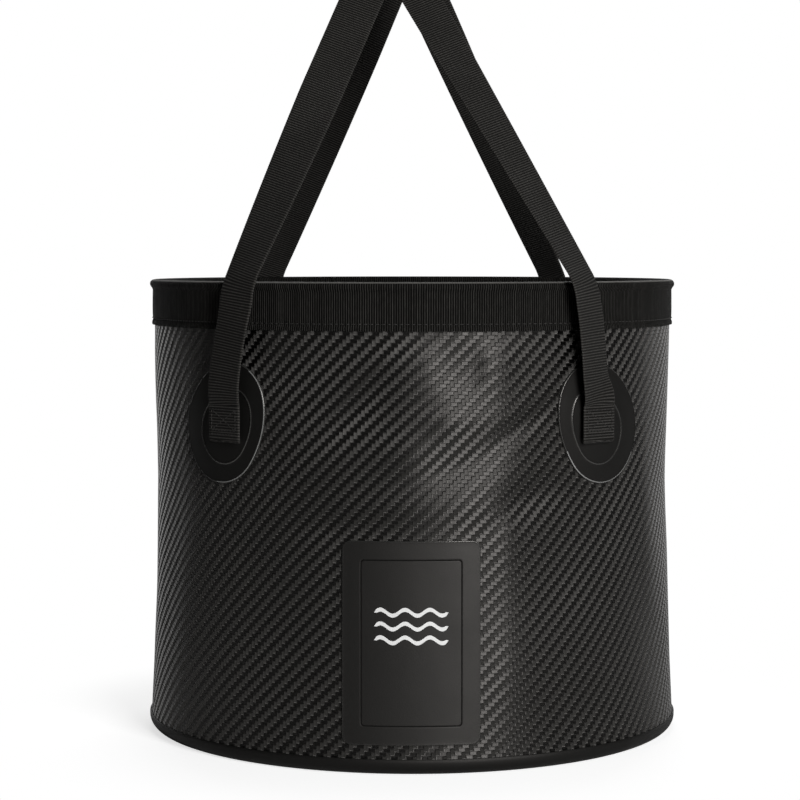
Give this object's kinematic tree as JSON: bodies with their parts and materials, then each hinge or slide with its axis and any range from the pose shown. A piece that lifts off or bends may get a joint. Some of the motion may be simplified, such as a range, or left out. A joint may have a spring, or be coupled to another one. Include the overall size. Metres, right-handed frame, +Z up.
{
  "type": "collapsible bucket",
  "caption": "Collapsible camp bucket of black coated sheet: round wall on a cupped bottom, taped hoop rim, label patch and two webbing handles on oval patches.",
  "frame": {"origin": "centre of the bottom's underside, on the ground the bucket stands on", "axes": "+Z up along the bucket's axis, -Y out of the front through the label, +X to the right seen from the front"},
  "size_m": [0.3172, 0.3172, 0.5007],
  "materials": {
    "embossed_sheet": "satin",
    "plain_sheet": "matte",
    "patch_sheet": "matte",
    "rim_tape": "matte",
    "webbing": "matte",
    "hoop_rod": "satin"
  },
  "bodies": {
    "base": {"bottom_disc": "plain_sheet", "wall_panel": "embossed_sheet", "label_patch": "patch_sheet"},
    "rim": {"rim_hoop": "hoop_rod", "rim_binding": "rim_tape"},
    "handle_mounts": {"handle_patch_front_right": "patch_sheet", "handle_patch_front_left": "patch_sheet", "handle_patch_back_right": "patch_sheet", "handle_patch_back_left": "patch_sheet", "strap_end_front_right": "webbing", "strap_end_front_left": "webbing", "strap_end_back_right": "webbing", "strap_end_back_left": "webbing"},
    "front_handle": {"front_strap": "webbing"},
    "back_handle": {"back_strap": "webbing"}
  },
  "joints": [
    {"name": "rim_drop", "type": "slide", "parent": "base", "child": "rim", "axis": [0, 0, 1], "range_m": [-0.16, 0], "deforming": ["wall_panel", "label_patch"]},
    {"name": "patches_drop", "type": "slide", "parent": "base", "child": "handle_mounts", "axis": [0, 0, 1], "range_m": [-0.1165, 0], "deforming": ["handle_patch_front_right", "handle_patch_front_left", "handle_patch_back_right", "handle_patch_back_left"]},
    {"name": "front_handle_swing", "type": "hinge", "parent": "handle_mounts", "child": "front_handle", "pos_m": [0, -0.1273, 0.197], "axis": [1, 0, 0], "range_deg": [0, 145]},
    {"name": "back_handle_swing", "type": "hinge", "parent": "handle_mounts", "child": "back_handle", "pos_m": [0, 0.1273, 0.197], "axis": [-1, 0, 0], "range_deg": [0, 145]}
  ],
  "couplings": [
    {"joint": "patches_drop", "follows": "rim_drop", "ratio": 0.7273}
  ]
}
